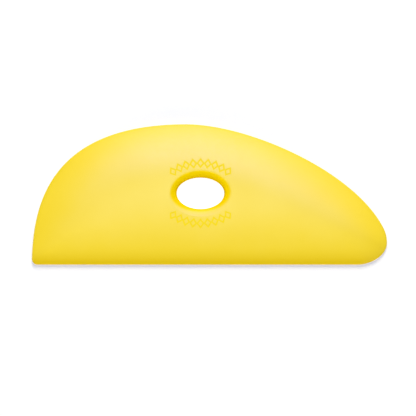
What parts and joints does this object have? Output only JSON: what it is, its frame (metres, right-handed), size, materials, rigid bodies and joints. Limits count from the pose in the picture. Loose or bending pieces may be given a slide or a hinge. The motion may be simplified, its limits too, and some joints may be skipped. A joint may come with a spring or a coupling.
{
  "type": "pottery rib",
  "caption": "Flexible moulded pottery rib with a domed face, a flat back, a straight edge, a curved back edge and an oval finger hole.",
  "frame": {"origin": "under the middle of the rib's length and width, on its flat back", "axes": "+X along the straight edge from the heel to the nose, +Y from the straight edge to the curved back edge, +Z out of the domed face"},
  "size_m": [0.127, 0.0502, 0.009],
  "materials": {
    "yellow_polyurethane": "satin"
  },
  "bodies": {
    "root": {"rib": "yellow_polyurethane"}
  },
  "joints": []
}
